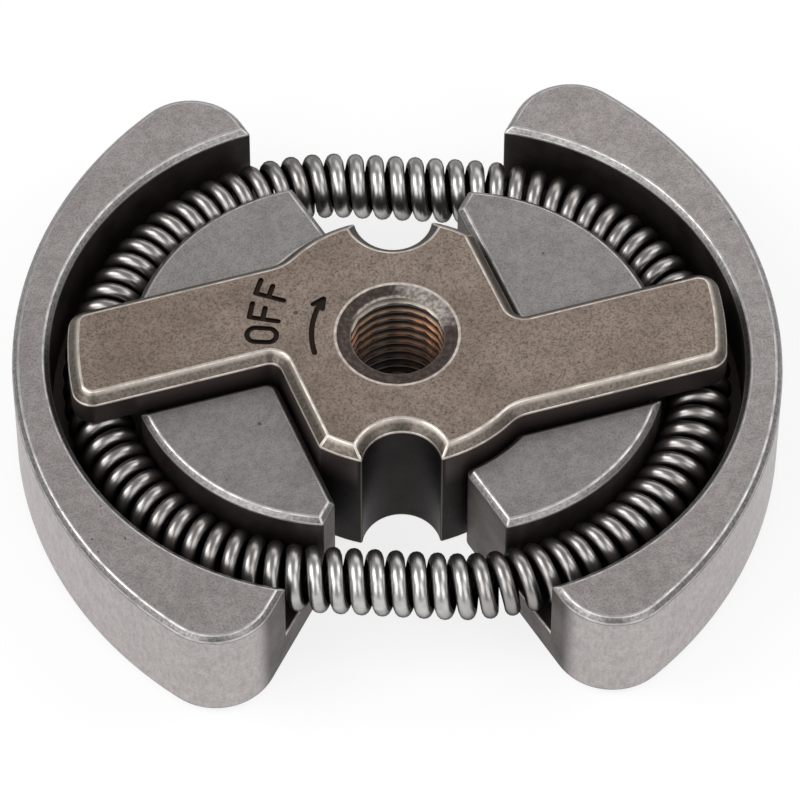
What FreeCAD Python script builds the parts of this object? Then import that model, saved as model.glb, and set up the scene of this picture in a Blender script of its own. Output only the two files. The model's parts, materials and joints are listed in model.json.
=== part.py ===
import FreeCAD, Part
import math
import os

# Centrifugal clutch of a chainsaw, in millimetres.
# A threaded hub with two offset arms drives two sliding shoes, and one closed coil spring round the
# shoes' inner lobes holds them in until the engine speeds up.
# The origin is on the crank axis at the hub's seat face, +Z points away from the engine, and the shoes
# slide along X. The clutch is the same after half a turn about Z, so the left half is drawn and turned.

# Heights above the seat face
HUB_HEIGHT = 15.1
SHOE_HEIGHT = 12.2
WEB_THICKNESS = 4.0
SPRING_HEIGHT = 7.3
ARM_UNDERSIDE = 11.4
GUIDE_UNDERSIDE = 4.3

# Hub: round boss with two leaning flats, two arms off the axis, two spanner notches and a threaded bore
BOSS_RADIUS = 14.1
FLAT_DISTANCE = 11.3
FLAT_LEAN = 5.8
ARM_WIDTH = 10.7
ARM_OFFSET = 6.15
ARM_REACH = 30.8
ARM_TIP_ROUNDING = 2.0
ARM_ROOT_FILLET = 1.1
ARM_BLEND = 3.3
GUIDE_SETBACK = 1.5
HUB_BEVEL = 1.0
SEAT_BEVEL = 0.4
NOTCH_RADIUS = 3.7
NOTCH_CENTRE = 14.15
NOTCH_ANGLE = 75.0
THREAD_MINOR_RADIUS = 4.35
BORE_MOUTH_RADIUS = 5.8
BORE_MOUTH_DEPTH = 0.35

# Shoe: friction rim, thin web and two lobes, with a round channel for the spring and a slot for the arm
FRICTION_RADIUS = 38.6
FRICTION_CENTRE = FreeCAD.Vector(2.5, -0.45, 0)
CHANNEL_CENTRE = FreeCAD.Vector(-5.4, 2.0, 0)
LOBE_RADIUS = 19.5
RIM_INNER_RADIUS = 26.85
UPPER_END = FreeCAD.Vector(-6.05, 28.8, 0)
UPPER_END_ANGLE = -74.8
LOWER_END = FreeCAD.Vector(-17.5, -22.3, 0)
LOWER_END_ANGLE = 47.4
END_ROUNDING = 5.8
BOSS_GAP = 0.45
SLOT_GAP = 0.45
LOBE_CORNER = 1.3
LOBE_TIP = 0.8
SHOE_BEVEL = 0.55

# Garter spring: one closed coil laid round the lobes of both shoes
WIRE_RADIUS = 0.76
COIL_RADIUS = 2.36
COIL_COUNT = 86
LOBE_TO_SPRING = 0.05
STEPS_PER_COIL = 10
SIDES_OF_WIRE = 5

AXIS = FreeCAD.Vector(0, 0, 1)
ORIGIN = FreeCAD.Vector(0, 0, 0)
FAR = 80.0
LEVEL_TOLERANCE = 1e-6
PLACE_TOLERANCE = 0.05
SEAM_TOLERANCE = 0.001


def heading(degrees):
    """Unit vector in plan at an angle from +X."""
    angle = math.radians(degrees)
    return FreeCAD.Vector(math.cos(angle), math.sin(angle), 0)


def half_turn(shape):
    """The same shape on the other side of the crank axis."""
    turned = shape.copy()
    turned.rotate(ORIGIN, AXIS, 180)
    return turned


def prism(corners, low, high):
    """Upright solid over a polygon of plan points."""
    base = Part.makePolygon([corner + AXIS * low for corner in corners + corners[:1]])
    return Part.Face(base).extrude(AXIS * (high - low))


def disc(radius, low, high, centre=ORIGIN):
    """Upright cylinder about a point of the plan."""
    return Part.makeCylinder(radius, high - low, centre + AXIS * low, AXIS)


def entry_point(start, along, centre, radius):
    """First point of a plan line, followed one way, that lies on a circle."""
    offset = start - centre
    slope = offset.dot(along)
    return start - along * (slope + math.sqrt(slope ** 2 - offset.Length ** 2 + radius ** 2))


def upright_edges(solid, place):
    """Vertical edges that stand on a point of the plan."""
    found = []
    for edge in solid.Edges:
        ends = [FreeCAD.Vector(vertex.X, vertex.Y, 0) for vertex in edge.Vertexes]
        if len(ends) == 2 and all(end.distanceToPoint(place) < PLACE_TOLERANCE for end in ends):
            found.append(edge)
    return found


def level_edges(solid, height):
    """Outer edges of the horizontal faces at one height."""
    found = []
    for face in solid.Faces:
        box = face.BoundBox
        if box.ZLength < LEVEL_TOLERANCE and abs(box.ZMin - height) < LEVEL_TOLERANCE:
            found.extend(face.OuterWire.Edges)
    return found


def left_flat_x(distance, y):
    """X of the left flat of the boss, or of a line beside it, at a height in plan."""
    out = heading(180 + FLAT_LEAN)
    return (distance - y * out.y) / out.x


def boss(radius, flat_distance, low, high):
    """Boss of the hub: a disc between two leaning flats, one on each side of the axis."""
    out = heading(FLAT_LEAN) * flat_distance
    along = heading(FLAT_LEAN + 90) * FAR
    corners = [out + along, along - out, -out - along, out - along]
    return disc(radius, low, high).common(prism(corners, low, high))


def left_strip(width, low, high):
    """Straight strip that runs left from the axis along the line of the left arm."""
    bottom = FreeCAD.Vector(0, ARM_OFFSET - width / 2, 0)
    top = FreeCAD.Vector(0, ARM_OFFSET + width / 2, 0)
    left = FreeCAD.Vector(-FAR, 0, 0)
    return prism([bottom, top, top + left, bottom + left], low, high)


def arm_corner(y):
    """Plan point where a side of the left arm meets its end."""
    return FreeCAD.Vector(-math.sqrt(ARM_REACH ** 2 - y ** 2), y, 0)


def make_left_arm():
    """Left arm: thin where it passes over the spring, deep where it guides the shoe."""
    arm = left_strip(ARM_WIDTH, ARM_UNDERSIDE, HUB_HEIGHT)
    arm = arm.common(disc(ARM_REACH, ARM_UNDERSIDE, HUB_HEIGHT))
    guide = left_strip(ARM_WIDTH, GUIDE_UNDERSIDE, HUB_HEIGHT)
    guide_reach = LOBE_RADIUS - GUIDE_SETBACK
    return arm.fuse(guide.common(disc(guide_reach, GUIDE_UNDERSIDE, HUB_HEIGHT, CHANNEL_CENTRE)))


def make_bore():
    """Tapping bore of the crank thread, with a shallow dished mouth at both ends."""
    top = AXIS * (HUB_HEIGHT - BORE_MOUTH_DEPTH)
    low_mouth = Part.makeCone(BORE_MOUTH_RADIUS, THREAD_MINOR_RADIUS, BORE_MOUTH_DEPTH)
    high_mouth = Part.makeCone(THREAD_MINOR_RADIUS, BORE_MOUTH_RADIUS, BORE_MOUTH_DEPTH, top)
    return disc(THREAD_MINOR_RADIUS, 0, HUB_HEIGHT).multiFuse([low_mouth, high_mouth])


def make_hub():
    """Driver of the clutch, sintered in one piece."""
    arm = make_left_arm()
    body = boss(BOSS_RADIUS, FLAT_DISTANCE, 0, HUB_HEIGHT)
    body = body.multiFuse([arm, half_turn(arm)]).removeSplitter()

    top = ARM_OFFSET + ARM_WIDTH / 2
    bottom = ARM_OFFSET - ARM_WIDTH / 2
    root = FreeCAD.Vector(left_flat_x(FLAT_DISTANCE, bottom), bottom, 0)
    blend = FreeCAD.Vector(-math.sqrt(BOSS_RADIUS ** 2 - top ** 2), top, 0)
    for place, radius in (
        (arm_corner(top), ARM_TIP_ROUNDING),
        (arm_corner(bottom), ARM_TIP_ROUNDING),
        (root, ARM_ROOT_FILLET),
        (blend, ARM_BLEND),
    ):
        body = body.makeFillet(radius, upright_edges(body, place) + upright_edges(body, -place))

    notch = disc(NOTCH_RADIUS, 0, HUB_HEIGHT, heading(NOTCH_ANGLE) * NOTCH_CENTRE)
    body = body.cut(notch).cut(half_turn(notch))
    body = body.makeChamfer(HUB_BEVEL, level_edges(body, HUB_HEIGHT))
    body = body.makeChamfer(SEAT_BEVEL, level_edges(body, 0))
    return body.cut(make_bore())


def make_shoe_blank():
    """Left shoe's pressed outline at full height: friction arc, rounded ends and the side by the boss."""
    upper_in = heading(UPPER_END_ANGLE)
    lower_in = heading(LOWER_END_ANGLE)
    inner_radius = BOSS_RADIUS + BOSS_GAP
    flat_distance = FLAT_DISTANCE + BOSS_GAP
    flat_out = heading(180 + FLAT_LEAN)

    upper_corner = entry_point(UPPER_END, upper_in, ORIGIN, inner_radius)
    flat_meets_round = entry_point(flat_out * flat_distance, heading(270 + FLAT_LEAN), ORIGIN, inner_radius)
    reach = (flat_distance - LOWER_END.dot(flat_out)) / lower_in.dot(flat_out)
    corners = [
        UPPER_END - upper_in * FAR,
        upper_corner,
        flat_meets_round,
        LOWER_END + lower_in * reach,
        LOWER_END - lower_in * FAR,
        FreeCAD.Vector(-2 * FAR, 0, 0),
    ]
    blank = prism(corners, 0, SHOE_HEIGHT)
    blank = blank.common(disc(FRICTION_RADIUS, 0, SHOE_HEIGHT, FRICTION_CENTRE))
    blank = blank.cut(boss(inner_radius, flat_distance, 0, SHOE_HEIGHT))
    for end, along in ((UPPER_END, upper_in), (LOWER_END, lower_in)):
        corner = entry_point(end, along, FRICTION_CENTRE, FRICTION_RADIUS)
        blank = blank.makeFillet(END_ROUNDING, upright_edges(blank, corner))
    return blank.makeFillet(LOBE_TIP, upright_edges(blank, upper_corner))


def make_left_shoe():
    """Left shoe, sintered in one piece, with the spring's channel and the arm's slot sunk to the web."""
    channel = disc(RIM_INNER_RADIUS, WEB_THICKNESS, SHOE_HEIGHT, CHANNEL_CENTRE)
    lobes = disc(LOBE_RADIUS, WEB_THICKNESS, SHOE_HEIGHT, CHANNEL_CENTRE)
    slot_width = ARM_WIDTH + 2 * SLOT_GAP
    slot = left_strip(slot_width, WEB_THICKNESS, SHOE_HEIGHT).common(channel)
    shoe = make_shoe_blank().cut(channel.cut(lobes)).cut(slot)

    slot_low = ARM_OFFSET - slot_width / 2
    corner = FreeCAD.Vector(left_flat_x(FLAT_DISTANCE + BOSS_GAP, slot_low), slot_low, 0)
    shoe = shoe.makeFillet(LOBE_CORNER, upright_edges(shoe, corner))
    return shoe.makeChamfer(SHOE_BEVEL, level_edges(shoe, SHOE_HEIGHT) + level_edges(shoe, 0))


def spring_axis(share):
    """Point and outward direction on the coil's centre line, a stretched ring round both lobe circles."""
    radius = LOBE_RADIUS + LOBE_TO_SPRING + COIL_RADIUS + WIRE_RADIUS
    half_span = CHANNEL_CENTRE.Length
    right = -CHANNEL_CENTRE / half_span
    ahead = AXIS.cross(right)
    straight = 2 * half_span
    half_ring = straight + math.pi * radius
    run = (share % 1.0) * 2 * half_ring
    side = 1.0
    if run >= half_ring:
        run -= half_ring
        side = -1.0
    if run < straight:
        out = ahead * side
        point = out * radius + right * side * (half_span - run)
    else:
        turn = (run - straight) / radius
        out = (ahead * math.cos(turn) - right * math.sin(turn)) * side
        point = out * radius - right * side * half_span
    return point + AXIS * SPRING_HEIGHT, out


def wire_centre(share):
    """Point on the wire, which winds right-handed round the coil's centre line, and its way outward."""
    point, out = spring_axis(share)
    turn = 2 * math.pi * COIL_COUNT * share
    radial = out * math.cos(turn) - AXIS * math.sin(turn)
    return point + radial * COIL_RADIUS, radial


def make_spring():
    """Garter spring: a flat-sided wire wound as one endless coil."""
    steps = COIL_COUNT * STEPS_PER_COIL
    points = []
    for step in range(steps):
        centre, radial = wire_centre(step / steps)
        before = wire_centre((step - 0.5) / steps)[0]
        after = wire_centre((step + 0.5) / steps)[0]
        along = (after - before).normalize()
        radial = (radial - along * radial.dot(along)).normalize()
        across = along.cross(radial)
        for side in range(SIDES_OF_WIRE):
            angle = 2 * math.pi * side / SIDES_OF_WIRE
            points.append(centre + (radial * math.cos(angle) + across * math.sin(angle)) * WIRE_RADIUS)
    facets = []
    for step in range(steps):
        here = step * SIDES_OF_WIRE
        there = (step + 1) % steps * SIDES_OF_WIRE
        for side in range(SIDES_OF_WIRE):
            beside = (side + 1) % SIDES_OF_WIRE
            facets.append((here + side, here + beside, there + side))
            facets.append((here + beside, there + beside, there + side))
    skin = Part.Shape()
    skin.makeShapeFromMesh((points, facets), SEAM_TOLERANCE)
    return Part.Solid(Part.Shell(skin.Faces))


def main():
    """Build the four pieces and write each one."""
    shoe = make_left_shoe()
    pieces = {
        "hub": make_hub(),
        "shoe_left": shoe,
        "shoe_right": half_turn(shoe),
        "garter_spring": make_spring(),
    }
    os.makedirs("parts", exist_ok=True)
    for name, shape in pieces.items():
        solid = shape.Solids[0]
        print(name, "solids", len(shape.Solids), "valid", solid.isValid(), "volume", round(solid.Volume, 1))
        print(solid.BoundBox)
        solid.exportStep(f"parts/{name}.step")


main()
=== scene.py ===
import json
import math

import bmesh
import bpy
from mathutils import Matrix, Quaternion, Vector

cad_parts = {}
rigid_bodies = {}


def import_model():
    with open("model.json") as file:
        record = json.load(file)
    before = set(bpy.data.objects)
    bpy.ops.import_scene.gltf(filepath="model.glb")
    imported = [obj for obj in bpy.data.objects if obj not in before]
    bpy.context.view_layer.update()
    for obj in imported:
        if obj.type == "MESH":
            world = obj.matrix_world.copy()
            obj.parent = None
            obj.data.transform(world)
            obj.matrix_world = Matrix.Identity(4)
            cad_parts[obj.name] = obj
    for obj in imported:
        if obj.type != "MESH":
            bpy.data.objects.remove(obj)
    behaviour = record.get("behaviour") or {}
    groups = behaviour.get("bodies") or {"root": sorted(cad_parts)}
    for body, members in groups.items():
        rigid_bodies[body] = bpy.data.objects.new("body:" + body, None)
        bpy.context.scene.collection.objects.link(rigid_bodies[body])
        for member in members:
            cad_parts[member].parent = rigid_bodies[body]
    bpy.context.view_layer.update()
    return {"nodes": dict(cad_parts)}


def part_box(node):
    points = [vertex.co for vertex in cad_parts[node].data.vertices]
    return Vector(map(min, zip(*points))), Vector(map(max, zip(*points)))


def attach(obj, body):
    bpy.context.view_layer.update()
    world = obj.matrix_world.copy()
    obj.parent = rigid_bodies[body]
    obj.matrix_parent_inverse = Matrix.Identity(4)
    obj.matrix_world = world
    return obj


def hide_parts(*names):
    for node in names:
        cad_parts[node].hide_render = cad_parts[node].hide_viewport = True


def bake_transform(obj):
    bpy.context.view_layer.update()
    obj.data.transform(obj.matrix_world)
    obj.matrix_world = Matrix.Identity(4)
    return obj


# Looks of the chainsaw clutch: a threaded and stamped hub, two sintered shoes and a garter spring.
# Lengths are in metres, in the frame of the CAD model: crank axis on Z, seat face at zero.

for leftover in list(bpy.data.objects):
    bpy.data.objects.remove(leftover)
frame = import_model()

MM = 0.001
UP = Vector((0, 0, 1))
HUB_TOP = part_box("hub")[1].z

# Edges of the sintered pieces
WELD_DISTANCE = 0.06 * MM
EDGE_ROUNDING = 0.15 * MM
SHARP_ANGLE = math.radians(24)
FLAT_ANGLE = math.radians(0.3)
UNDERSIDE = -0.9

# Crank thread, M10x1.25 left-hand; its crests lie just outside the CAD model's tapping bore
THREAD_CREST = 4.37 * MM
THREAD_ROOT = 5.0 * MM
THREAD_PITCH = 1.25 * MM
THREAD_SIDES = 80
THREAD_STEPS_PER_PITCH = 16
THREAD_OVERRUN = 1.0 * MM
THREAD_PHASE = 0.79
BORE_MOUTH_RADIUS = 5.8 * MM
BORE_MOUTH_DEPTH = 0.35 * MM
RUN_OUT = 0.5 * MM
CREST_SHARE = 1 / 4
ROOT_SHARE = 1 / 8

# Round the bore: headings in plan of the paler side of its mouth and of the painted highlight on its
# inner lip, and the foot of the painted light on the thread's first turn
PALE_SIDE_HEADING = 35.0
LIP_HIGHLIGHT_HEADING = 73.0
LIP_WIDTH = 0.36 * MM
FIRST_TURN_FOOT = HUB_TOP - 1.9 * MM

# Wear on the hub's outside, and painted shade: the back spanner notch, at this heading, has its bevel
# darkened with painted shade, and the walls' painted shade stays darkest near the notches and is
# lighter toward the top
NOTCH_DISTANCE = 14.15 * MM
NOTCH_HEADING = 75.0
NOTCH_SHADE_FADE = (4.7 * MM, 4.5 * MM)
NOTCH_WALL_FADE = (3.9 * MM, 4.3 * MM)
ARM_WALL_FADE = (HUB_TOP - 6.0 * MM, HUB_TOP - 2.5 * MM)
BEVEL_RUB_FADE = (HUB_TOP - 0.45 * MM, HUB_TOP - 0.1 * MM)

# Marks stamped in the hub: the word OFF on a slow curve, and an arrow round the bore
MARK_DEPTH = 0.22 * MM
MARK_CLEARANCE = 0.5 * MM
PEN_RADIUS = 0.26 * MM
PEN_END_ANGLES = (25, 50, 75)
LETTER_HEIGHT = 2.75 * MM
LETTER_WIDTH = 1.6 * MM
LETTER_BAR_HEIGHT = 0.08
LETTER_BAR_LENGTH = 0.6
LETTER_LOOP_STEPS = 28
LETTER_STEP = 2.62 * MM
FIRST_LETTER = Vector((-12.15, 3.5, 0)) * MM
FIRST_HEADING = 70.0
HEADING_STEP = -7.0
ARROW_RADIUS = 8.0 * MM
ARROW_START = 179.0
ARROW_END = 133.0
ARROW_STEPS = 16
BARB_LENGTH = 1.15 * MM
BARB_ANGLE = 26.0

# Garter spring, as in the CAD model but with round wire
WIRE_RADIUS = 0.76 * MM
COIL_RADIUS = 2.36 * MM
COIL_COUNT = 86
RING_RADIUS = 22.67 * MM
CHANNEL_CENTRE = Vector((-5.4, 2.0, 0)) * MM
SPRING_HEIGHT = 7.3 * MM
STEPS_PER_COIL = 26
SIDES_OF_WIRE = 14
WIRE_END_ANGLE = math.radians(60)

# Shoe: the round face that rubs on the drum
FRICTION_CENTRE = Vector((2.5, -0.45, 0)) * MM
RIM_INNER = 30.0 * MM
SUNK_HEIGHT = 9.0 * MM

# Colours of the metals, as linear light
HUB_FACE = (0.362, 0.29, 0.243)
HUB_STAIN = (0.311, 0.244, 0.2)
# Hub walls darkened with painted shade
HUB_WALL_SHADE = (0.023, 0.0185, 0.018)
# Lighter painted shade on the hub walls toward their top
ARM_WALL_SHADE = (0.11, 0.09, 0.085)
HUB_BEVEL = (0.17, 0.147, 0.125)
HUB_EDGE = (0.76, 0.69, 0.62)
BORE_MOUTH = (0.13, 0.101, 0.091)
# Paler side of the bore's mouth
MOUTH_PALE = (0.5, 0.46, 0.42)
# Painted light on the first turn of the thread
FIRST_TURN_LIGHT = (0.29, 0.262, 0.225)
# Painted shade on the bevel of the back spanner notch
NOTCH_SHADE = (0.045, 0.04, 0.036)
MARK_FOOT = (0.028, 0.02, 0.016)
RIM_FACE = (0.424, 0.388, 0.383)
LOBE_FACE = (0.344, 0.324, 0.317)
# Shoe walls and low faces darkened with painted shade; also the colour of dark specks on the rubbed
# face
SHOE_WALL_SHADE_AND_SPECK = (0.12, 0.102, 0.094)
SHOE_RUBBED = (0.535, 0.494, 0.49)
SHOE_BEVEL = (0.32, 0.305, 0.297)
SHOE_EDGE = (0.58, 0.56, 0.55)
PORE = (0.07, 0.06, 0.055)
# Black painted shade deep in the bore, in the thread's grooves and inside the spring's coils
SHADE_BLACK = (0.012, 0.011, 0.011)
# Painted copper highlight at the left and right sides of the thread
COPPER_SHEEN = (0.29, 0.125, 0.062)
UMBER = (0.165, 0.112, 0.078)
# Painted light on the thread near the bore's top
BRASS_LIGHT = (0.27, 0.215, 0.155)
WIRE = (0.6, 0.59, 0.575)
WIRE_TARNISH = (0.42, 0.41, 0.4)
# Spring wire darkened with painted shade where it lies in the shoes' channel
WIRE_SHADED = (0.34, 0.325, 0.315)
WIRE_FLANK = (0.1, 0.1, 0.1, 1)
EDGE_GLANCE = (0.2, 0.2, 0.2, 1)
FLOOR_WHITE = (0.93, 0.93, 0.93)
FLOOR_DULL_WHITE = (0.91, 0.91, 0.91)

# Strengths of the finishes
HUB_GRAIN = 0.68
SHOE_GRAIN = 0.38
RELIEF_DEPTH = 0.015 * MM
RELIEF_STRENGTH = 0.6
BEVEL_POLISH = 0.14
DULL_STRETCH = 0.65
UPRIGHT_EDGE = 0.2
FLOOR_GLOW = 0.8

# Camera, worked out from the photograph
CAMERA_AZIMUTH = 16.88
CAMERA_ELEVATION = 54.64
CAMERA_ROLL = 0.23
CAMERA_DISTANCE = 602.4 * MM
SENSOR_WIDTH = 36.0
IMAGE_WIDTH_PX = 800.0
FOCAL_LENGTH_PX = 6461.0
HUB_TOP_PX = (397.1, 333.95)

# Floor, surround and lamps: name, azimuth and elevation in degrees, distance, size, power in watts
FLOOR_HALF_WIDTH = 2.5
SURROUND_STRENGTH = 0.38
LAMPS = (
    ("front_left_lamp", CAMERA_AZIMUTH + 40, 35, 0.8, (0.5, 0.75), 2.4),
    ("front_right_lamp", CAMERA_AZIMUTH - 40, 35, 0.8, (0.5, 0.75), 1.7),
    ("left_lamp", 105, 45, 0.8, (0.4, 0.5), 2.5),
    ("right_lamp", -85, 45, 0.8, (0.4, 0.5), 1.5),
    ("back_lamp", 210, 42, 0.32, (0.3, 0.15), 0.15),
)


def heading(degrees):
    """Unit vector in plan at an angle from +X."""
    angle = math.radians(degrees)
    return Vector((math.cos(angle), math.sin(angle), 0))


def new_object(name, vertices, faces):
    """Mesh object from points and faces, at the origin."""
    mesh = bpy.data.meshes.new(name)
    mesh.from_pydata(vertices, [], faces)
    mesh.update()
    obj = bpy.data.objects.new(name, mesh)
    bpy.context.scene.collection.objects.link(obj)
    return obj


def apply_modifiers(obj):
    """Turn an object's modifiers into its own mesh."""
    bpy.context.view_layer.update()
    final = bpy.data.meshes.new_from_object(obj.evaluated_get(bpy.context.evaluated_depsgraph_get()))
    obj.modifiers.clear()
    obj.data = final


def smooth_shading(obj):
    """Smooth curved faces that keep their sharp edges and leave flat faces flat."""
    obj.data.shade_smooth()
    obj.data.set_sharp_from_angle(angle=SHARP_ANGLE)
    normals = obj.modifiers.new("normals", "WEIGHTED_NORMAL")
    normals.weight = 100
    normals.keep_sharp = True
    apply_modifiers(obj)


def weld(obj):
    """Join points that the import split and triangles that lie flat, and mark the edges that wear."""
    welded = bmesh.new()
    welded.from_mesh(obj.data)
    bmesh.ops.remove_doubles(welded, verts=welded.verts, dist=WELD_DISTANCE)
    bmesh.ops.recalc_face_normals(welded, faces=welded.faces)
    bmesh.ops.dissolve_limit(welded, angle_limit=FLAT_ANGLE, verts=welded.verts, edges=welded.edges)
    worn = welded.edges.layers.float.new("bevel_weight_edge")
    for edge in welded.edges:
        underneath = any(face.normal.z < UNDERSIDE for face in edge.link_faces)
        in_bore = all(vertex.co.xy.length < THREAD_ROOT for vertex in edge.verts)
        sharp = edge.is_convex and edge.calc_face_angle() > SHARP_ANGLE
        edge[worn] = float(sharp and not underneath and not in_bore)
    welded.to_mesh(obj.data)
    welded.free()


def worn_copy(node, name, body, edge):
    """Copy of a CAD node whose sharp edges are rubbed round and bright, as on a tumbled part."""
    source = frame["nodes"][node].data
    obj = new_object(name, [v.co for v in source.vertices], [p.vertices[:] for p in source.polygons])
    obj.data.materials.append(body)
    obj.data.materials.append(edge)
    weld(obj)
    rounding = obj.modifiers.new("rounding", "BEVEL")
    rounding.width = EDGE_ROUNDING
    rounding.segments = 2
    rounding.limit_method = "WEIGHT"
    rounding.use_clamp_overlap = False
    rounding.loop_slide = False
    rounding.material = 1
    apply_modifiers(obj)
    return obj


def cut(obj, cutter):
    """Take one solid out of another."""
    boolean = obj.modifiers.new("cut", "BOOLEAN")
    boolean.operation = "DIFFERENCE"
    boolean.solver = "EXACT"
    boolean.object = cutter
    apply_modifiers(obj)
    bpy.data.objects.remove(cutter)


def groove_depth(phase):
    """Depth of the thread's groove at a share of its pitch: flat crest, flank, flat root, flank."""
    flank = (1 - CREST_SHARE - ROOT_SHARE) / 2
    from_root = abs(phase % 1.0 - 0.5)
    share = 1 - (from_root - ROOT_SHARE / 2) / flank
    return max(0.0, min(1.0, share)) * (THREAD_ROOT - THREAD_CREST)


def run_out(z):
    """Share of the thread's full depth at a height: none in the bore's mouths, all a little way in."""
    inside = min(z, HUB_TOP - z) - BORE_MOUTH_DEPTH
    return max(0.0, min(1.0, inside / RUN_OUT))


def make_thread_cutter():
    """Threaded bar to cut from the bore; left-hand, as it falls when it goes counter-clockwise."""
    length = HUB_TOP + 2 * THREAD_OVERRUN
    rows = round(length / THREAD_PITCH * THREAD_STEPS_PER_PITCH)
    vertices = []
    for row in range(rows + 1):
        z = length * row / rows - THREAD_OVERRUN
        for side in range(THREAD_SIDES):
            share = side / THREAD_SIDES
            depth = groove_depth(z / THREAD_PITCH + share + THREAD_PHASE) * run_out(z)
            radius = THREAD_CREST + depth
            vertices.append(heading(360 * share) * radius + UP * z)
    top = rows * THREAD_SIDES
    faces = [list(range(THREAD_SIDES))[::-1], list(range(top, top + THREAD_SIDES))]
    for row in range(rows):
        for side in range(THREAD_SIDES):
            beside = (side + 1) % THREAD_SIDES
            low, high = row * THREAD_SIDES, (row + 1) * THREAD_SIDES
            faces.append((low + side, low + beside, high + beside, high + side))
    return new_object("thread_cutter", vertices, faces)


def stroke_stations(path, closed):
    """Points along a pen stroke, with the way across it and its half width; open strokes end round."""
    count = len(path)
    stations = []
    for index, point in enumerate(path):
        before = path[index - 1] if closed or index > 0 else point
        after = path[(index + 1) % count] if closed or index < count - 1 else point
        along = (after - before).normalized()
        stations.append((point, UP.cross(along), PEN_RADIUS))
    if not closed:
        first, last = stations[0], stations[-1]
        for angle in PEN_END_ANGLES:
            reach = PEN_RADIUS * math.sin(math.radians(angle))
            half = PEN_RADIUS * math.cos(math.radians(angle))
            stations.insert(0, (first[0] + UP.cross(first[1]) * reach, first[1], half))
            stations.append((last[0] - UP.cross(last[1]) * reach, last[1], half))
    return stations


def make_stroke(path, closed=False):
    """Upright ribbon along a pen stroke, from the foot of the mark to above the hub's top."""
    stations = stroke_stations(path, closed)
    vertices, faces = [], []
    for point, across, half in stations:
        for side in (-half, half):
            for z in (HUB_TOP - MARK_DEPTH, HUB_TOP + MARK_CLEARANCE):
                vertices.append(point + across * side + UP * z)
    count = len(stations)
    for index in range(count if closed else count - 1):
        here = 4 * index
        there = 4 * ((index + 1) % count)
        for a, b in ((0, 1), (1, 3), (3, 2), (2, 0)):
            faces.append((here + a, there + a, there + b, here + b))
    if not closed:
        end = 4 * (count - 1)
        faces.append((0, 1, 3, 2))
        faces.append((end, end + 2, end + 3, end + 1))
    stroke = new_object("stroke", vertices, faces)
    weld(stroke)
    return stroke


def letter_strokes(letter):
    """Pen strokes of a letter about its middle, each with whether it closes on itself."""
    x, y = LETTER_WIDTH / 2, LETTER_HEIGHT / 2
    if letter == "O":
        loop = []
        for step in range(LETTER_LOOP_STEPS):
            point = heading(360 * step / LETTER_LOOP_STEPS) * x
            loop.append(point + Vector((0, math.copysign(y - x, point.y), 0)))
        return [(loop, True)]
    bar = LETTER_BAR_HEIGHT * y
    return [
        ([Vector((-x, -y, 0)), Vector((-x, y, 0))], False),
        ([Vector((-x, y, 0)), Vector((x, y, 0))], False),
        ([Vector((-x, bar, 0)), Vector((LETTER_BAR_LENGTH * x, bar, 0))], False),
    ]


def make_mark_cutters():
    """Solid of each pen stroke of the stamped marks."""
    strokes = []
    place, degrees = FIRST_LETTER.copy(), FIRST_HEADING
    for letter in "OFF":
        right, up = heading(degrees), heading(degrees + 90)
        for path, closed in letter_strokes(letter):
            strokes.append(make_stroke([place + right * p.x + up * p.y for p in path], closed))
        place = place + heading(degrees + HEADING_STEP / 2) * LETTER_STEP
        degrees += HEADING_STEP

    turn = (ARROW_END - ARROW_START) / ARROW_STEPS
    headings = [ARROW_START + turn * step for step in range(ARROW_STEPS + 1)]
    strokes.append(make_stroke([heading(degrees) * ARROW_RADIUS for degrees in headings]))
    tip = heading(ARROW_END) * ARROW_RADIUS
    for side in (-BARB_ANGLE, BARB_ANGLE):
        strokes.append(make_stroke([tip, tip + heading(ARROW_END + 90 + side) * BARB_LENGTH]))
    return strokes


def make_hub():
    """Hub with its thread cut and its marks stamped."""
    edge = make_edge_material("hub_rubbed_edges", HUB_EDGE)
    hub = worn_copy("hub", "hub_threaded", make_hub_material(), edge)
    for cutter in (*make_mark_cutters(), make_thread_cutter()):
        cut(hub, cutter)
    smooth_shading(hub)
    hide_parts("hub")
    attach(hub, "hub")


def make_shoe(side):
    """Shoe on one side, with its edges rounded."""
    edge = make_edge_material(f"shoe_{side}_rubbed_edges", SHOE_EDGE)
    shoe = worn_copy(f"shoe_{side}", f"shoe_{side}_worn", make_shoe_material(side), edge)
    smooth_shading(shoe)
    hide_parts(f"shoe_{side}")
    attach(shoe, f"shoe_{side}")


def spring_axis(share):
    """Point and outward direction on the coil's centre line, a stretched ring round both lobes."""
    half_span = CHANNEL_CENTRE.length
    right = -CHANNEL_CENTRE.normalized()
    ahead = UP.cross(right)
    straight = 2 * half_span
    half_ring = straight + math.pi * RING_RADIUS
    run = (share % 1.0) * 2 * half_ring
    side = 1.0
    if run >= half_ring:
        run -= half_ring
        side = -1.0
    if run < straight:
        out = ahead * side
        point = out * RING_RADIUS + right * side * (half_span - run)
    else:
        turn = (run - straight) / RING_RADIUS
        out = (ahead * math.cos(turn) - right * math.sin(turn)) * side
        point = out * RING_RADIUS - right * side * half_span
    return point + UP * SPRING_HEIGHT, out


def wire_centre(share):
    """Point on the wire, which winds right-handed round the coil's centre line, and its way outward."""
    point, out = spring_axis(share)
    turn = 2 * math.pi * COIL_COUNT * share
    radial = out * math.cos(turn) - UP * math.sin(turn)
    return point + radial * COIL_RADIUS, radial


def map_wire(mesh, steps):
    """Texture map of the wire: u along it, v round it, with the inside of the coil at v 0.5."""
    places = mesh.uv_layers.new(name="wire").data
    corners = [(step, corner) for step in range(steps) for corner in range(SIDES_OF_WIRE)]
    for face, (step, corner) in zip(mesh.polygons[2:], corners):
        for loop, (ahead, beside) in zip(face.loop_indices, ((0, 0), (0, 1), (1, 1), (1, 0))):
            places[loop].uv = ((step + ahead) / steps, (corner + beside) / SIDES_OF_WIRE)


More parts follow.
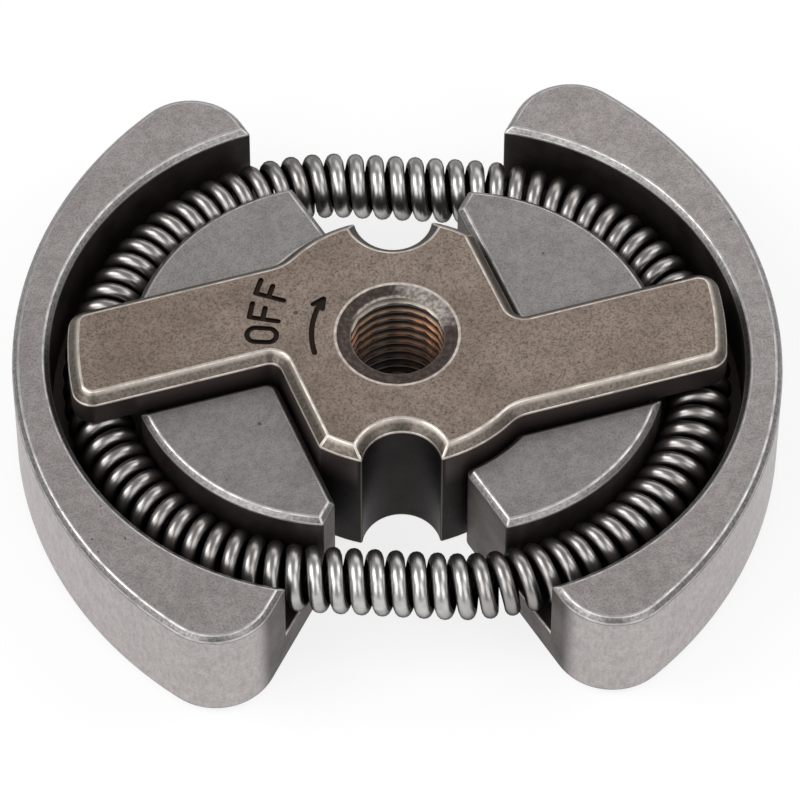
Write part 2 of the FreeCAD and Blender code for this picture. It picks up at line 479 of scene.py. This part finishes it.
def make_spring_half(side):
    """Half of the garter spring, from the middle of one free span to the middle of the other."""
    half_span = CHANNEL_CENTRE.length
    middle = half_span / (4 * half_span + 2 * math.pi * RING_RADIUS)
    start = middle if side == "left" else middle + 0.5
    steps = COIL_COUNT * STEPS_PER_COIL // 2
    vertices = []
    for step in range(steps + 1):
        share = start + 0.5 * step / steps
        centre, radial = wire_centre(share)
        along = (wire_centre(share + 0.1 / steps)[0] - wire_centre(share - 0.1 / steps)[0]).normalized()
        radial = (radial - along * radial.dot(along)).normalized()
        across = along.cross(radial)
        for corner in range(SIDES_OF_WIRE):
            angle = 2 * math.pi * corner / SIDES_OF_WIRE
            out = radial * math.cos(angle) + across * math.sin(angle)
            vertices.append(centre + out * WIRE_RADIUS)
    last = steps * SIDES_OF_WIRE
    faces = [list(range(SIDES_OF_WIRE))[::-1], [last + corner for corner in range(SIDES_OF_WIRE)]]
    for step in range(steps):
        here, there = step * SIDES_OF_WIRE, (step + 1) * SIDES_OF_WIRE
        for corner in range(SIDES_OF_WIRE):
            beside = (corner + 1) % SIDES_OF_WIRE
            faces.append((here + corner, here + beside, there + beside, there + corner))
    half = new_object(f"garter_spring_{side}", vertices, faces)
    half.data.shade_smooth()
    half.data.set_sharp_from_angle(angle=WIRE_END_ANGLE)
    map_wire(half.data, steps)
    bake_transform(half)
    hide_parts("garter_spring")
    return half


class Surface:
    """Node tree of one material, with short calls for the nodes that the finishes share."""

    def __init__(self, name):
        self.material = bpy.data.materials.new(name)
        self.material.use_nodes = True
        self.tree = self.material.node_tree
        self.tree.nodes.clear()
        self.shader = self.add("ShaderNodeBsdfPrincipled")
        self.output = self.add("ShaderNodeOutputMaterial")
        self.tree.links.new(self.shader.outputs["BSDF"], self.output.inputs["Surface"])
        place = self.add("ShaderNodeTexCoord")
        self.place = place.outputs["Object"]
        self.normal = place.outputs["Normal"]
        self.map = place.outputs["UV"]

    def add(self, kind, sockets=(), **settings):
        """New node with settings, and with sockets set to values or linked to other nodes' outputs."""
        node = self.tree.nodes.new(kind)
        for name, value in settings.items():
            setattr(node, name, value)
        for name, value in dict(sockets).items():
            if isinstance(value, bpy.types.NodeSocket):
                self.tree.links.new(value, node.inputs[name])
            else:
                node.inputs[name].default_value = value
        return node

    def set(self, **sockets):
        """Value or link for the shader's sockets, named with underscores for spaces."""
        for name, value in sockets.items():
            socket = self.shader.inputs[name.replace("_", " ")]
            if isinstance(value, bpy.types.NodeSocket):
                self.tree.links.new(value, socket)
            else:
                socket.default_value = value

    def calc(self, operation, *values):
        """Number worked out from others."""
        return self.add("ShaderNodeMath", enumerate(values), operation=operation).outputs[0]

    def both(self, a, b):
        """Share of what two shares leave: their product."""
        return self.calc("MULTIPLY", a, b)

    def vector(self, operation, *values):
        """Vector worked out from others."""
        return self.add("ShaderNodeVectorMath", enumerate(values), operation=operation).outputs[0]

    def plan(self, vector):
        """Vector with its height left out."""
        return self.vector("MULTIPLY", vector, (1, 1, 0))

    def length(self, vector):
        """Length of a vector."""
        return self.add("ShaderNodeVectorMath", {0: vector}, operation="LENGTH").outputs["Value"]

    def dot(self, a, b):
        """Dot product of two vectors."""
        return self.add("ShaderNodeVectorMath", {0: a, 1: b}, operation="DOT_PRODUCT").outputs["Value"]

    def ramp(self, value, low, high):
        """Smooth step from 0 at low to 1 at high."""
        sockets = {"Value": value, "From Min": low, "From Max": high}
        node = self.add("ShaderNodeMapRange", sockets, interpolation_type="SMOOTHSTEP")
        return node.outputs["Result"]

    def span(self, value, low, high):
        """Share from 0 to 1 laid out between two numbers."""
        sockets = {"Value": value, "To Min": low, "To Max": high}
        return self.add("ShaderNodeMapRange", sockets).outputs["Result"]

    def noise(self, feature, detail=3.0, stretch=(1, 1, 1)):
        """Noise with features of a real size, pulled out along the axes whose stretch is under one."""
        place = self.vector("MULTIPLY", self.place, stretch)
        sockets = {"Vector": place, "Scale": 1 / feature, "Detail": detail}
        return self.add("ShaderNodeTexNoise", sockets).outputs["Fac"]

    def specks(self, spacing, size, share):
        """Scattered round specks: one cell in a few holds one, about as wide as size."""
        cells = self.add("ShaderNodeTexVoronoi", {"Vector": self.place, "Scale": 1 / spacing})
        number = self.add("ShaderNodeSeparateColor", {0: cells.outputs["Color"]}).outputs[0]
        chosen = self.calc("LESS_THAN", number, share)
        near = self.ramp(cells.outputs["Distance"], size / spacing / 2, size / spacing / 4)
        return self.calc("MULTIPLY", chosen, near)

    def mix(self, share, a, b):
        """Colour between two others."""
        node = self.add("ShaderNodeMix", data_type="RGBA")
        for index, value in ((0, share), (6, a), (7, b)):
            if isinstance(value, bpy.types.NodeSocket):
                self.tree.links.new(value, node.inputs[index])
            else:
                node.inputs[index].default_value = (*value, 1) if index else value
        return node.outputs[2]

    def bump(self, height, depth, strength):
        """Relief of a real depth on the shader's normal."""
        sockets = {"Height": height, "Distance": depth, "Strength": strength}
        self.set(Normal=self.add("ShaderNodeBump", sockets).outputs["Normal"])

    def axis(self, vector, name):
        """One coordinate of a vector."""
        return self.add("ShaderNodeSeparateXYZ", {0: vector}).outputs[name]


def darker(colour, share):
    """Colour with only a share of its light."""
    return tuple(share * channel for channel in colour)


def level_share(surface):
    """How nearly a face lies level, from 0 on a wall to 1 on a flat."""
    return surface.calc("ABSOLUTE", surface.axis(surface.normal, "Z"))


def sloped_share(surface):
    """1 on a bevel, 0 on a level face or a wall."""
    level = level_share(surface)
    return surface.both(surface.ramp(level, 0.97, 0.9), surface.ramp(level, 0.3, 0.5))


def upright_share(surface):
    """How nearly a face stands upright, from 0 on a bevel to 1 on a wall."""
    return surface.ramp(level_share(surface), 0.45, 0.12)


def in_ring(surface, radius, low, high, soft):
    """1 between two radii and 0 outside them, with soft borders."""
    inside = surface.ramp(radius, high + soft, high - soft)
    return surface.both(surface.ramp(radius, low - soft, low + soft), inside)


def sintered(surface, face, bevel, wall, grain_strength):
    """Sintered steel: colour of its porous flats and rough bevels, and colour of its walls, darkened
    with painted shade.
    """
    grain = surface.noise(0.2 * MM)
    mottle = surface.noise(3.2 * MM, detail=6.0)
    crumbs = surface.noise(0.3 * MM, detail=5.0)
    blotches = surface.noise(0.8 * MM, detail=2.0)
    small_pores = surface.specks(1.5 * MM, 0.32 * MM, 0.22)
    large_pores = surface.specks(5.0 * MM, 0.6 * MM, 0.35)
    pores = surface.calc("MAXIMUM", small_pores, large_pores)
    colour = surface.mix(surface.span(surface.ramp(mottle, 0.35, 0.7), 0.0, 0.14), face, PORE)
    colour = surface.mix(surface.span(surface.ramp(blotches, 0.3, 0.7), 0.0, 0.18), colour, PORE)
    fine_pores = surface.span(surface.ramp(grain, 0.4, 0.75), 0.0, grain_strength)
    colour = surface.mix(fine_pores, colour, PORE)
    colour = surface.mix(surface.span(pores, 0.0, 0.8), colour, PORE)

    pits = surface.span(surface.ramp(crumbs, 0.3, 0.72), 0.0, 0.7)
    sloped = sloped_share(surface)
    colour = surface.mix(sloped, colour, surface.mix(pits, bevel, darker(bevel, 0.35)))
    # Walls get painted shade: a dark colour, darker still in a mottle
    walls = surface.mix(surface.ramp(mottle, 0.3, 0.75), wall, darker(wall, 0.5))

    relief = surface.calc("SUBTRACT", surface.calc("MULTIPLY", grain, 0.5), pores)
    bevel_relief = surface.calc("MULTIPLY", surface.both(sloped, crumbs), 2.0)
    surface.bump(surface.calc("ADD", relief, bevel_relief), RELIEF_DEPTH, RELIEF_STRENGTH)
    polish = surface.calc("MULTIPLY", sloped, BEVEL_POLISH)
    surface.set(Metallic=1.0, Roughness=surface.calc("SUBTRACT", surface.span(grain, 0.4, 0.6), polish))
    return colour, walls


def hub_outside(surface, colour, walls, height, flat):
    """Hub's outside, with bevels rubbed pale along their top, walls darkened with painted shade that is
    lighter toward their top away from the notches, and painted shade on the bevel of the back spanner
    notch.
    """
    sloped = sloped_share(surface)
    worn = surface.span(surface.ramp(height, *BEVEL_RUB_FADE), 0.0, 0.38)
    colour = surface.mix(surface.both(worn, sloped), colour, HUB_EDGE)
    notch = heading(NOTCH_HEADING) * NOTCH_DISTANCE
    from_notch = surface.length(surface.vector("SUBTRACT", flat, notch[:]))
    from_other_notch = surface.length(surface.vector("ADD", flat, notch[:]))
    nearest = surface.calc("MINIMUM", from_notch, from_other_notch)
    clear_of_notches = surface.ramp(nearest, *NOTCH_WALL_FADE)
    # Painted shade on the walls is lighter toward their top and away from the notches
    lighter_wall_shade = surface.both(surface.ramp(height, *ARM_WALL_FADE), clear_of_notches)
    walls = surface.mix(lighter_wall_shade, walls, ARM_WALL_SHADE)
    colour = surface.mix(upright_share(surface), colour, walls)
    # Painted shade on the bevel of the back spanner notch
    painted_shade = surface.ramp(from_notch, *NOTCH_SHADE_FADE)
    return surface.mix(surface.both(painted_shade, sloped), colour, NOTCH_SHADE)


def bore_mouth(surface, colour, height, flat, radius):
    """Bore's mouth: a dark, gritty dish, paler on one side, with a painted highlight on its inner lip
    at the far side and a bright lip round it.
    """
    grime = surface.ramp(surface.noise(0.6 * MM, detail=5.0), 0.25, 0.75)
    grit = surface.ramp(surface.noise(0.4 * MM, detail=4.0), 0.4, 0.6)
    mouth = surface.mix(grime, BORE_MOUTH, darker(BORE_MOUTH, 0.5))
    mouth = surface.mix(surface.span(grit, 0.0, 0.6), mouth, darker(BORE_MOUTH, 0.35))

    # Paler on one side of the mouth, at a heading in plan
    outward = surface.vector("NORMALIZE", flat)
    rubbed = surface.dot(outward, heading(PALE_SIDE_HEADING)[:])
    rubbed = surface.ramp(surface.calc("ADD", rubbed, surface.span(grime, 0.08, -0.08)), 0.68, 1.0)
    # Painted highlight on the inner lip at the far side
    inner_lip = surface.ramp(radius, THREAD_CREST + LIP_WIDTH, THREAD_CREST + LIP_WIDTH / 2)
    lip_highlight = surface.ramp(surface.dot(outward, heading(LIP_HIGHLIGHT_HEADING)[:]), 0.35, 0.65)
    rubbed = surface.calc("MAXIMUM", rubbed, surface.both(inner_lip, lip_highlight))
    rubbed = surface.both(rubbed, surface.span(grit, 1.0, 0.45))
    mouth = surface.mix(rubbed, mouth, MOUTH_PALE)

    below_top = surface.ramp(height, HUB_TOP - 0.01 * MM, HUB_TOP - 0.03 * MM)
    in_mouth = in_ring(surface, radius, THREAD_CREST, BORE_MOUTH_RADIUS - 0.1 * MM, 0.02 * MM)
    colour = surface.mix(surface.both(in_mouth, below_top), colour, mouth)
    lip_inside = BORE_MOUTH_RADIUS - 0.12 * MM
    lip_outside = BORE_MOUTH_RADIUS + 0.13 * MM
    lip = in_ring(surface, radius, lip_inside, lip_outside, 0.05 * MM)
    lip = surface.both(lip, surface.ramp(height, HUB_TOP - MM, HUB_TOP - 0.5 * MM))
    return surface.mix(surface.both(lip, surface.span(grime, 1.0, 0.4)), colour, HUB_EDGE)


def bore_thread(surface, colour, height, radius):
    """Thread: umber brown with a painted copper highlight at the left and right sides, painted light
    making it brassy near the top and pale on the first turn, and painted shade in the grooves and
    further down.
    """
    in_bore = surface.ramp(radius, THREAD_ROOT + 0.12 * MM, THREAD_ROOT)
    mouth_foot = HUB_TOP - BORE_MOUTH_DEPTH
    below_mouth = surface.ramp(height, mouth_foot + 0.05 * MM, mouth_foot - 0.05 * MM)
    # Painted copper highlight at the left and right sides, with some random tone
    side_highlight = surface.dot(surface.vector("NORMALIZE", surface.place), (1, 0, 0))
    side_highlight = surface.calc("MULTIPLY", surface.calc("ABSOLUTE", side_highlight), 0.7)
    sheen_and_tone = surface.calc("ADD", side_highlight, surface.noise(0.9 * MM))
    copper = surface.mix(surface.ramp(sheen_and_tone, 0.5, 0.95), UMBER, COPPER_SHEEN)
    # Painted light near the bore's top: brassy, and pale on the first turn with less painted shade in
    # its groove
    copper = surface.mix(surface.ramp(height, HUB_TOP - 3.0 * MM, HUB_TOP), copper, BRASS_LIGHT)
    lit_first_turn = surface.ramp(height, FIRST_TURN_FOOT, FIRST_TURN_FOOT + 0.8 * MM)
    copper = surface.mix(lit_first_turn, copper, FIRST_TURN_LIGHT)
    # Painted shade, deeper down the bore and in the grooves
    depth = surface.calc("DIVIDE", surface.calc("SUBTRACT", HUB_TOP - 2 * MM, height), 10 * MM)
    depth_shade = surface.calc("MINIMUM", surface.calc("MAXIMUM", depth, 0.0), 0.9)
    copper = surface.mix(depth_shade, copper, SHADE_BLACK)
    groove = surface.ramp(radius, THREAD_CREST + 0.03 * MM, THREAD_CREST + 0.35 * MM)
    groove = surface.both(groove, surface.span(lit_first_turn, 1.0, 0.5))
    copper = surface.mix(groove, copper, SHADE_BLACK)
    return surface.mix(surface.both(in_bore, below_mouth), colour, copper)


def mark_share(surface, height, radius):
    """1 on the foot and walls of the stamped marks, 0 elsewhere."""
    mark_foot = HUB_TOP - MARK_DEPTH
    sunk = surface.ramp(height, HUB_TOP - 0.06 * MM, HUB_TOP - 0.12 * MM)
    above_foot = surface.ramp(height, mark_foot - 0.06 * MM, mark_foot - 0.02 * MM)
    level = level_share(surface)
    square = surface.calc("MAXIMUM", surface.ramp(level, 0.95, 0.99), surface.ramp(level, 0.1, 0.04))
    past_mouth = surface.ramp(radius, BORE_MOUTH_RADIUS, BORE_MOUTH_RADIUS + 0.1 * MM)
    return surface.both(surface.both(sunk, above_foot), surface.both(square, past_mouth))


def make_hub_material():
    """Warm grey sintered steel, black in the stamped marks and copper brown in the thread."""
    surface = Surface("hub_sintered_steel")
    stained = surface.ramp(surface.noise(6.0 * MM, detail=4.0), 0.4, 0.62)
    face = surface.mix(stained, HUB_FACE, HUB_STAIN)
    colour, walls = sintered(surface, face, HUB_BEVEL, HUB_WALL_SHADE, HUB_GRAIN)
    height = surface.axis(surface.place, "Z")
    flat = surface.plan(surface.place)
    radius = surface.length(flat)
    colour = hub_outside(surface, colour, walls, height, flat)
    colour = bore_mouth(surface, colour, height, flat, radius)
    colour = bore_thread(surface, colour, height, radius)
    surface.set(Base_Color=surface.mix(mark_share(surface, height, radius), colour, MARK_FOOT))
    return surface.material


def make_shoe_material(side):
    """Grey sintered steel, with a paler face where the drum rubs, and painted shade on its walls and on
    the faces low in the channel.
    """
    surface = Surface(f"shoe_{side}_sintered_steel")
    centre = FRICTION_CENTRE if side == "left" else -FRICTION_CENTRE
    flat = surface.plan(surface.vector("SUBTRACT", surface.place, centre[:]))
    on_rim = surface.ramp(surface.length(flat), RIM_INNER, RIM_INNER + MM)
    face = surface.mix(on_rim, LOBE_FACE, RIM_FACE)
    colour, walls = sintered(surface, face, SHOE_BEVEL, SHOE_WALL_SHADE_AND_SPECK, SHOE_GRAIN)
    height = surface.axis(surface.place, "Z")
    # Painted shade on the faces low down in the channel and under the arms
    above_back = surface.ramp(height, 0.5 * MM, 1.0 * MM)
    sunk = surface.both(surface.ramp(height, SUNK_HEIGHT, SUNK_HEIGHT - MM), above_back)
    colour = surface.mix(sunk, colour, darker(SHOE_WALL_SHADE_AND_SPECK, 0.6))

    outward = surface.dot(surface.vector("NORMALIZE", flat), surface.normal)
    rubbed = surface.both(surface.ramp(outward, 0.0, 0.4), on_rim)
    streaks = surface.noise(0.35 * MM, detail=4.0, stretch=(1, 1, 0.3))
    blotches = surface.noise(1.4 * MM, detail=8.0)
    pale = surface.mix(surface.ramp(blotches, 0.3, 0.75), SHOE_RUBBED, darker(SHOE_RUBBED, 0.87))
    pale = surface.mix(surface.span(surface.ramp(streaks, 0.4, 0.75), 0.0, 0.5), pale, LOBE_FACE)
    speckle = surface.ramp(surface.noise(0.25 * MM), 0.3, 0.75)
    pale = surface.mix(surface.span(speckle, 0.0, 0.24), pale, SHOE_WALL_SHADE_AND_SPECK)
    walls = surface.mix(rubbed, walls, pale)
    surface.set(Base_Color=surface.mix(upright_share(surface), colour, walls))
    return surface.material


def make_edge_material(name, colour):
    """Edge rubbed bright, with duller stretches, and dull all along where it stands upright."""
    surface = Surface(name)
    upright = surface.ramp(level_share(surface), 0.25, 0.05)
    dull = surface.ramp(surface.noise(1.2 * MM, detail=6.0), 0.36, 0.7)
    dull = surface.calc("MAXIMUM", dull, upright)
    rubbed = surface.mix(dull, colour, darker(colour, DULL_STRETCH))
    surface.set(
        Metallic=1.0,
        Base_Color=surface.mix(upright, rubbed, darker(colour, UPRIGHT_EDGE)),
        Roughness=surface.span(dull, 0.38, 0.5),
        Specular_Tint=EDGE_GLANCE,
    )
    return surface.material


def make_spring_material():
    """Dark drawn spring wire with a satin polish, black with painted shade on the inside of the coils
    and darker with painted shade where it lies in the shoes' channel.
    """
    surface = Surface("spring_wire")
    tarnish = surface.noise(1.4 * MM, detail=4.0)
    along = surface.calc("SUBTRACT", surface.axis(surface.map, "X"), 0.5)
    around = surface.calc("SUBTRACT", surface.axis(surface.map, "Y"), 0.5)
    from_shoe = surface.calc("ABSOLUTE", along)
    from_inside = surface.calc("ABSOLUTE", around)
    # Painted shade where the wire lies in the shoes' channel
    painted_shade = surface.ramp(from_shoe, 0.43, 0.36)
    wire = surface.mix(surface.ramp(tarnish, 0.3, 0.7), WIRE, WIRE_TARNISH)
    wire = surface.mix(painted_shade, wire, WIRE_SHADED)
    surface.set(
        Metallic=1.0,
        # Black painted shade on the inside of the coils
        Base_Color=surface.mix(surface.ramp(from_inside, 0.31, 0.2), wire, SHADE_BLACK),
        Roughness=surface.span(surface.noise(0.8 * MM), 0.26, 0.34),
        Specular_Tint=WIRE_FLANK,
    )
    return surface.material


def make_floor_material():
    """White sheet, largely lit from behind as in the photograph, so that its shadow stays light."""
    surface = Surface("white_sheet")
    surface.set(
        Base_Color=surface.mix(surface.noise(60 * MM), FLOOR_WHITE, FLOOR_DULL_WHITE),
        Roughness=0.9,
        Specular_IOR_Level=0.1,
    )
    path = surface.add("ShaderNodeLightPath").outputs
    seen = surface.calc("MAXIMUM", path["Is Camera Ray"], path["Is Glossy Ray"])
    seen = surface.calc("MAXIMUM", seen, path["Is Transmission Ray"])
    glow = surface.add("ShaderNodeEmission", {"Color": (1, 1, 1, 1), "Strength": 1.0})
    share = surface.calc("MULTIPLY", seen, FLOOR_GLOW)
    sockets = {0: share, 1: surface.shader.outputs["BSDF"], 2: glow.outputs["Emission"]}
    sheet = surface.add("ShaderNodeMixShader", sockets)
    surface.tree.links.new(sheet.outputs["Shader"], surface.output.inputs["Surface"])
    return surface.material


def make_floor():
    """Large white sheet under the clutch."""
    half = FLOOR_HALF_WIDTH
    corners = [(-half, -half, 0), (half, -half, 0), (half, half, 0), (-half, half, 0)]
    floor = new_object("floor", corners, [(0, 1, 2, 3)])
    floor.data.materials.append(make_floor_material())


def toward(azimuth, elevation):
    """Direction from the clutch to a lamp or camera; azimuth 0 is in front and turns to the left."""
    a, e = math.radians(azimuth), math.radians(elevation)
    return Vector((-math.sin(a) * math.cos(e), -math.cos(a) * math.cos(e), math.sin(e)))


def make_lamp(name, azimuth, elevation, distance, size, power):
    """Soft rectangular lamp that faces the clutch."""
    light = bpy.data.lights.new(name, "AREA")
    light.shape = "RECTANGLE"
    light.size, light.size_y = size
    light.energy = power
    lamp = bpy.data.objects.new(name, light)
    bpy.context.scene.collection.objects.link(lamp)
    lamp.location = toward(azimuth, elevation) * distance
    lamp.rotation_mode = "QUATERNION"
    lamp.rotation_quaternion = toward(azimuth, elevation).to_track_quat("Z", "Y")


def make_lights():
    """Studio light: an even surround, and lamps beside the camera, at both sides and behind."""
    world = bpy.data.worlds.new("surround")
    world.use_nodes = True
    world.node_tree.nodes["Background"].inputs["Color"].default_value = (1, 1, 1, 1)
    world.node_tree.nodes["Background"].inputs["Strength"].default_value = SURROUND_STRENGTH
    bpy.context.scene.world = world
    for lamp in LAMPS:
        make_lamp(*lamp)


def make_camera():
    """Camera at the photograph's place, turned so that the hub's top lands where it is there."""
    data = bpy.data.cameras.new("camera")
    data.sensor_width = SENSOR_WIDTH
    data.lens = FOCAL_LENGTH_PX / IMAGE_WIDTH_PX * SENSOR_WIDTH
    data.clip_start, data.clip_end = 0.01, 20
    camera = bpy.data.objects.new("camera", data)
    bpy.context.scene.collection.objects.link(camera)
    back = toward(CAMERA_AZIMUTH, CAMERA_ELEVATION)
    right = UP.cross(back).normalized()
    upward = back.cross(right)
    pixel = CAMERA_DISTANCE / FOCAL_LENGTH_PX
    hub_top = UP * HUB_TOP
    middle = IMAGE_WIDTH_PX / 2
    aim = hub_top + (right * (middle - HUB_TOP_PX[0]) - upward * (middle - HUB_TOP_PX[1])) * pixel
    camera.location = hub_top + back * CAMERA_DISTANCE
    camera.rotation_mode = "QUATERNION"
    level = (aim - camera.location).to_track_quat("-Z", "Y")
    camera.rotation_quaternion = level @ Quaternion(UP, math.radians(CAMERA_ROLL))
    bpy.context.scene.camera = camera


def main():
    """Build, dress, light and frame the clutch."""
    bpy.context.scene.view_settings.view_transform = "Standard"
    make_hub()
    wire = make_spring_material()
    for side in ("left", "right"):
        make_shoe(side)
        make_spring_half(side).data.materials.append(wire)
    make_floor()
    make_lights()
    make_camera()


main()
